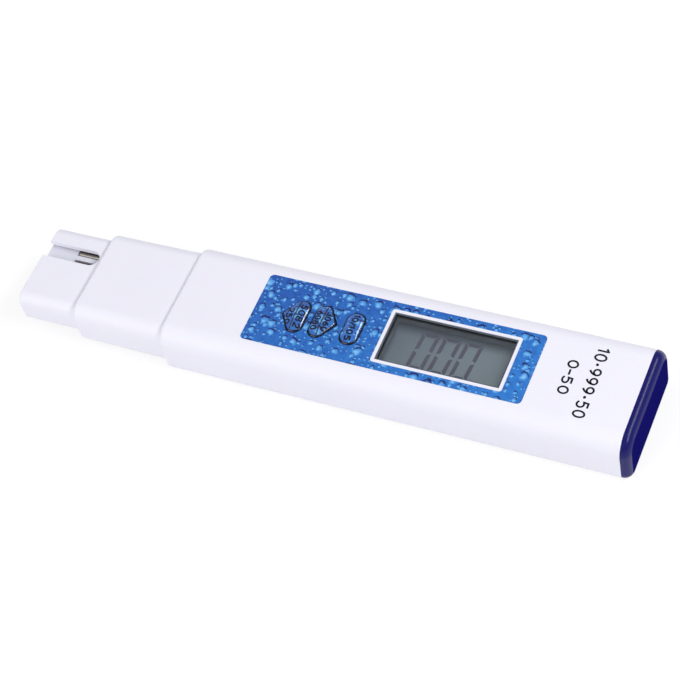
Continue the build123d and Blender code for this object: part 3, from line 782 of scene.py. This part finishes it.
@dataclass
class DomedKey:
    """A key as a smooth dome of printed film, with a black line round it and plain numbers on it."""

    shop: Workshop
    node: str
    body: str
    outline: list[Point]
    legend: Legend
    middle: Point
    base: float
    rise: float = 1.1
    skirt: float = 0.9
    rings: int = 16
    line_width: float = 0.42
    line_rings: int = 3
    number_stroke: float = 0.36
    divider_width: float = 0.3
    divider_start: float = 4.3
    divider_step: float = 0.3
    divider_points: int = 30
    ink_lift: float = 0.03
    crown: float = 2.6
    flank: float = 0.66

    def height(self, share: float) -> float:
        """Returns the height above the key's edge at a share of the way out from its middle."""
        return self.rise * (1 - min(share, 1.0) ** self.crown) ** self.flank

    def reach(self, angle: float) -> float:
        """Measures from the key's middle to its outline.

        Args:
            angle: direction in radians.

        Returns:
            The distance in millimetres.
        """
        way = Vector((math.cos(angle), math.sin(angle)))
        best = 0.0
        for index, end in enumerate(self.outline):
            start = Vector(self.outline[index - 1])
            side = Vector(end) - start
            cross = way.x * side.y - way.y * side.x
            if abs(cross) < 1e-9:
                continue
            along = (start.x * side.y - start.y * side.x) / cross
            share = (start.x * way.y - start.y * way.x) / cross
            if along > 0 and -1e-6 <= share <= 1 + 1e-6:
                best = max(best, along)
        return best

    def surface(self, x: float, y: float, lift: float = 0.0) -> Vector:
        """Finds the point on the dome over a place.

        Args:
            x: place along the pen from the key's middle, in millimetres.
            y: place across the pen from the key's middle, in millimetres.
            lift: height over the dome in millimetres.

        Returns:
            The point in metres.
        """
        away = math.hypot(x, y)
        share = away / self.reach(math.atan2(y, x)) if away > 1e-6 else 0.0
        height = self.base + self.height(share) + lift
        return Vector((mm(self.middle[0] + x), mm(self.middle[1] + y), mm(height)))

    def build(self) -> None:
        """Builds the dome, its black line and its numbers."""
        self.dome()
        self.border()
        self.print_legend()

    def dome(self) -> None:
        """Builds the dome in rings, with a short skirt down into the body."""
        count = len(self.outline)
        points = [Vector((mm(self.middle[0] + x), mm(self.middle[1] + y), mm(self.base - self.skirt)))
                  for x, y in self.outline]
        shares = [math.sin(math.pi / 2 * (1 - ring / self.rings)) for ring in range(self.rings)]
        for share in shares:
            points += [self.surface(x * share, y * share) for x, y in self.outline]
        points.append(self.surface(0.0, 0.0))
        faces = ring_faces(self.rings, count)
        last = self.rings * count
        faces += [(last + index, last + (index + 1) % count, len(points) - 1) for index in range(count)]
        film = self.shop.finish("key_print")
        piece = self.shop.piece(self.node + "_dome", points, faces, [film], self.body, "key_print")
        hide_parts(self.node)

    def border(self) -> None:
        """Builds the black line that hugs the foot of the dome, just inside its edge."""
        points = []
        for step in range(self.line_rings + 1):
            for x, y in self.outline:
                share = 1 - self.line_width * step / self.line_rings / math.hypot(x, y)
                points.append(self.surface(x * share, y * share, self.ink_lift))
        faces = ring_faces(self.line_rings, len(self.outline))
        ink = self.shop.finish("gloss_ink")
        piece = self.shop.piece(self.node + "_line", points, faces, [ink], self.body, "key_print")
        thicken(piece, self.ink_lift)

    def print_legend(self) -> None:
        """Builds the numbers and the dividing line, laid on the dome."""
        def on_dome(x: float, y: float) -> Vector:
            """Returns the place on the dome, a little above its film."""
            return self.surface(x, y, self.ink_lift)

        for number, (text, heights, reach) in enumerate(self.legend.rows, 1):
            Lettering(self.shop, f"{self.node}_row_{number}", text, heights, reach, on_dome,
                      self.number_stroke, "gloss_ink", self.body, "key_print", self.ink_lift).build()
        if self.legend.divider is None:
            return
        half = self.divider_width / 2
        ends = [self.divider_start - index * self.divider_step for index in range(self.divider_points)]
        points = [on_dome(self.legend.divider + side, y) for y in ends for side in (-half, half)]
        faces = [(2 * i, 2 * i + 2, 2 * i + 3, 2 * i + 1) for i in range(len(ends) - 1)]
        ink = self.shop.finish("gloss_ink")
        piece = self.shop.piece(self.node + "_divider", points, faces, [ink], self.body, "key_print")
        thicken(piece, self.ink_lift)


def thicken(piece: bpy.types.Object, thickness: float) -> None:
    """Gives a printed piece its thickness, outwards.

    Args:
        piece: piece that is a bare sheet.
        thickness: in millimetres.
    """
    solid = piece.modifiers.new("thickness", "SOLIDIFY")
    solid.thickness = mm(thickness)
    solid.offset = 1.0


@dataclass
class Keypad:
    """The three keys in a row: two pointed ones that face away from each other, and a round-ended one."""

    shop: Workshop
    flange: float = 0.67
    span: float = 10.0
    shoulder: float = 3.5
    radii: tuple[float, ...] = (2.2, 1.9, 0.7, 1.9, 2.2)

    def shield(self, length: float, facing: Facing) -> list[Point]:
        """Outline of a pointed key about the middle of its length.

        Args:
            length: from its straight side to its point.
            facing: way that it points.

        Returns:
            Points counter-clockwise.
        """
        half = self.span / 2
        corners = [(0.0, -half), (self.shoulder, -half), (length, 0.0), (self.shoulder, half), (0.0, half)]
        points = rounded_outline([(x - length / 2, y) for x, y in corners], list(self.radii))
        return [(x * facing.value, y * facing.value) for x, y in points]

    def build(self) -> None:
        """Builds each key over its moulded node."""
        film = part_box("label_film")[1].z / MM
        plans = {
            "key_mode_cal": ("mode_key", Facing.SENSOR_END, Legend(
                (("5082", (0.95, 2.85), (3.6, -4.1)), ("250", (-1.9, -0.1), (1.7, -3.4))), 0.45)),
            "key_hold_temp": ("hold_key", Facing.CAP_END, Legend(
                (("3060", (0.0, 1.7), (3.0, -3.2)), ("6080", (-2.8, -0.95), (2.8, -3.4))), -0.45)),
            "key_on_off": ("power_key", None, Legend((("10/105", (-0.9, 0.9), (4.1, -4.2)),))),
        }
        for node, (body, facing, legend) in plans.items():
            low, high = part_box(node)
            width = (high.x - low.x) / MM - 2 * self.flange
            middle = ((low.x + high.x) / 2 / MM, (low.y + high.y) / 2 / MM)
            outline = self.shield(width, facing) if facing else stadium(self.span, width)
            DomedKey(self.shop, node, body, outline, legend, middle, film).build()


@dataclass
class Display:
    """Seven-segment digits under the clear window."""

    shop: Workshop
    digits: int = 3
    digit_width: float = 4.7
    digit_height: float = 11.3
    pitch: float = 5.75
    first_x: float = 24.05
    middle_y: float = -0.5
    segment: float = 1.02
    slant: float = math.radians(4.5)
    gap: float = 0.2
    lift: float = 0.01

    def bars(self) -> list[list[Point]]:
        """Outlines of the six lit segments of a zero, about its middle."""
        wide, tall, thick, gap = self.digit_width / 2, self.digit_height / 2, self.segment, self.gap
        bars = []
        for side in (-1, 1):
            bars.append([(side * wide, gap), (side * (wide - thick), gap + thick / 2),
                         (side * (wide - thick), tall - thick - gap), (side * wide, tall - gap)])
            bars.append([(side * wide, -gap), (side * (wide - thick), -gap - thick / 2),
                         (side * (wide - thick), -tall + thick + gap), (side * wide, -tall + gap)])
            bars.append([(-wide + gap, side * tall), (wide - gap, side * tall),
                         (wide - thick - gap, side * (tall - thick)),
                         (-wide + thick + gap, side * (tall - thick))])
        return bars

    def build(self) -> None:
        """Builds the digits just over the display's face."""
        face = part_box("display_glass")[1].z / MM + self.lift
        for digit in range(self.digits):
            centre = self.first_x + self.digit_width / 2 + digit * self.pitch
            points, faces = [], []
            for bar in self.bars():
                first = len(points)
                for x, y in bar:
                    across = centre + x + y * math.tan(self.slant)
                    points.append(Vector((mm(across), mm(self.middle_y + y), mm(face))))
                faces.append(tuple(range(first, first + len(bar))))
            ink = self.shop.finish("display_segment")
            name = f"display_digit_{digit + 1}"
            piece = self.shop.piece(name, points, faces, [ink], "root", "display_cell", smooth=False)
            thicken(piece, self.lift)


def body_top() -> float:
    """Height of the body's upper face in millimetres: the battery cap is as high as the body."""
    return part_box("battery_cap")[1].z / MM


def print_numbers(shop: Workshop) -> None:
    """Prints the two rows of plain numbers on the upper face, between the label and the cap.

    Args:
        shop: workshop that makes the pieces.
    """
    ink_lift = 0.01
    top = body_top() + ink_lift

    def on_body(x: float, y: float) -> Vector:
        """Returns the place just over the upper face."""
        return Vector((mm(x), mm(y), mm(top)))

    Lettering(shop, "number_row_long", "10·999·50", (68.5, 71.8), (10.6, -10.8), on_body).build()
    Lettering(shop, "number_row_short", "0-50", (62.9, 65.8), (5.5, -5.3), on_body).build()


@dataclass
class Camera:
    """Camera at the photograph's angle, in metres."""

    place: tuple[float, float, float] = (0.1838, -0.2607, 0.4169)
    forward: tuple[float, float, float] = (-0.3494, 0.5037, -0.7901)
    up: tuple[float, float, float] = (-0.2138, 0.7781, 0.5906)
    lens: float = 107.96

    def build(self) -> None:
        """Makes it the scene's camera."""
        data = bpy.data.cameras.new("photo_camera")
        data.lens = self.lens
        camera = bpy.data.objects.new("photo_camera", data)
        bpy.context.scene.collection.objects.link(camera)
        back = -Vector(self.forward).normalized()
        right = Vector(self.up).cross(back).normalized()
        up = back.cross(right)
        turn = Matrix((right, up, back)).transposed().to_4x4()
        camera.matrix_world = Matrix.Translation(self.place) @ turn
        bpy.context.scene.camera = camera


@dataclass(frozen=True)
class SoftBox:
    """A studio lamp, aimed at the pen: direction from it, distance, width and height in metres, and power."""

    name: str
    direction: tuple[float, float, float]
    distance: float
    width: float
    height: float
    power: float
    colour: str = "FFFFFF"

    def build(self) -> None:
        """Hangs the lamp."""
        data = bpy.data.lights.new(self.name, "AREA")
        data.shape = "RECTANGLE"
        data.size = self.width
        data.size_y = self.height
        data.energy = self.power
        data.color = srgb(self.colour)[:3]
        lamp = bpy.data.objects.new(self.name, data)
        bpy.context.scene.collection.objects.link(lamp)
        way = Vector(self.direction).normalized()
        turn = way.to_track_quat("Z", "Y").to_matrix().to_4x4()
        lamp.matrix_world = Matrix.Translation(way * self.distance) @ turn


@dataclass
class Studio:
    """Plain pale floor, soft lamps and an even sky."""

    floor_half: float = 3.0
    sky: float = 0.5
    floor_shade: float = 0.3
    floor_glow: float = 0.75
    lamps: tuple[SoftBox, ...] = (
        SoftBox("right_softbox", (0.68, 0.17, 0.71), 0.9, 1.0, 0.2, 5.0),
        SoftBox("front_softbox", (-0.45, -0.75, 0.50), 1.1, 0.9, 0.7, 5.2),
    )

    def build(self) -> None:
        """Builds the floor, lamps and sky."""
        self.floor()
        for lamp in self.lamps:
            lamp.build()
        world = bpy.data.worlds.new("studio_sky")
        world.use_nodes = True
        tree = world.node_tree
        tree.nodes.clear()
        light = add_node(tree, "ShaderNodeBackground", {0: srgb("FAFAFF"), 1: self.sky})
        add_node(tree, "ShaderNodeOutputWorld", {0: light.outputs[0]})
        bpy.context.scene.world = world
        bpy.context.scene.view_settings.view_transform = "Standard"

    def floor(self) -> None:
        """Builds the floor, which shows white to the camera and keeps the pen's shadow."""
        half = self.floor_half
        mesh = bpy.data.meshes.new("floor")
        corners = [(-half, -half, 0), (half, -half, 0), (half, half, 0), (-half, half, 0)]
        mesh.from_pydata(corners, [], [(0, 1, 2, 3)])
        floor = bpy.data.objects.new("floor", mesh)
        bpy.context.scene.collection.objects.link(floor)
        material, tree, output = new_material("floor_paper")
        paper = add_node(tree, "ShaderNodeBsdfDiffuse", {0: srgb("E8E8EA")})
        shade = add_node(tree, "ShaderNodeBsdfDiffuse", {0: (*(self.floor_shade,) * 3, 1.0)})
        white = add_node(tree, "ShaderNodeEmission", {0: (1.0, 1.0, 1.0, 1.0), 1: self.floor_glow})
        seen = add_node(tree, "ShaderNodeAddShader", {0: shade.outputs[0], 1: white.outputs[0]})
        rays = add_node(tree, "ShaderNodeLightPath")
        shows = add_node(tree, "ShaderNodeMath", {
            0: rays.outputs["Is Camera Ray"], 1: rays.outputs["Is Glossy Ray"]}, operation="MAXIMUM")
        through = add_node(tree, "ShaderNodeMath", {
            0: shows.outputs[0], 1: rays.outputs["Is Transmission Ray"]}, operation="MAXIMUM")
        mixed = add_node(tree, "ShaderNodeMixShader", {
            0: through.outputs[0], 1: paper.outputs[0], 2: seen.outputs[0]})
        tree.links.new(mixed.outputs[0], output.inputs["Surface"])
        mesh.materials.append(material)


def main() -> None:
    """Loads the frame, dresses it and builds the pieces that the frame lacks."""
    logging.basicConfig(level=logging.INFO, format="%(message)s")
    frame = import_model()
    shop = Workshop(frame)
    Camera().build()
    Studio().build()
    shop.dress()
    Keypad(shop).build()
    Display(shop).build()
    print_numbers(shop)


if __name__ == "__main__":
    main()
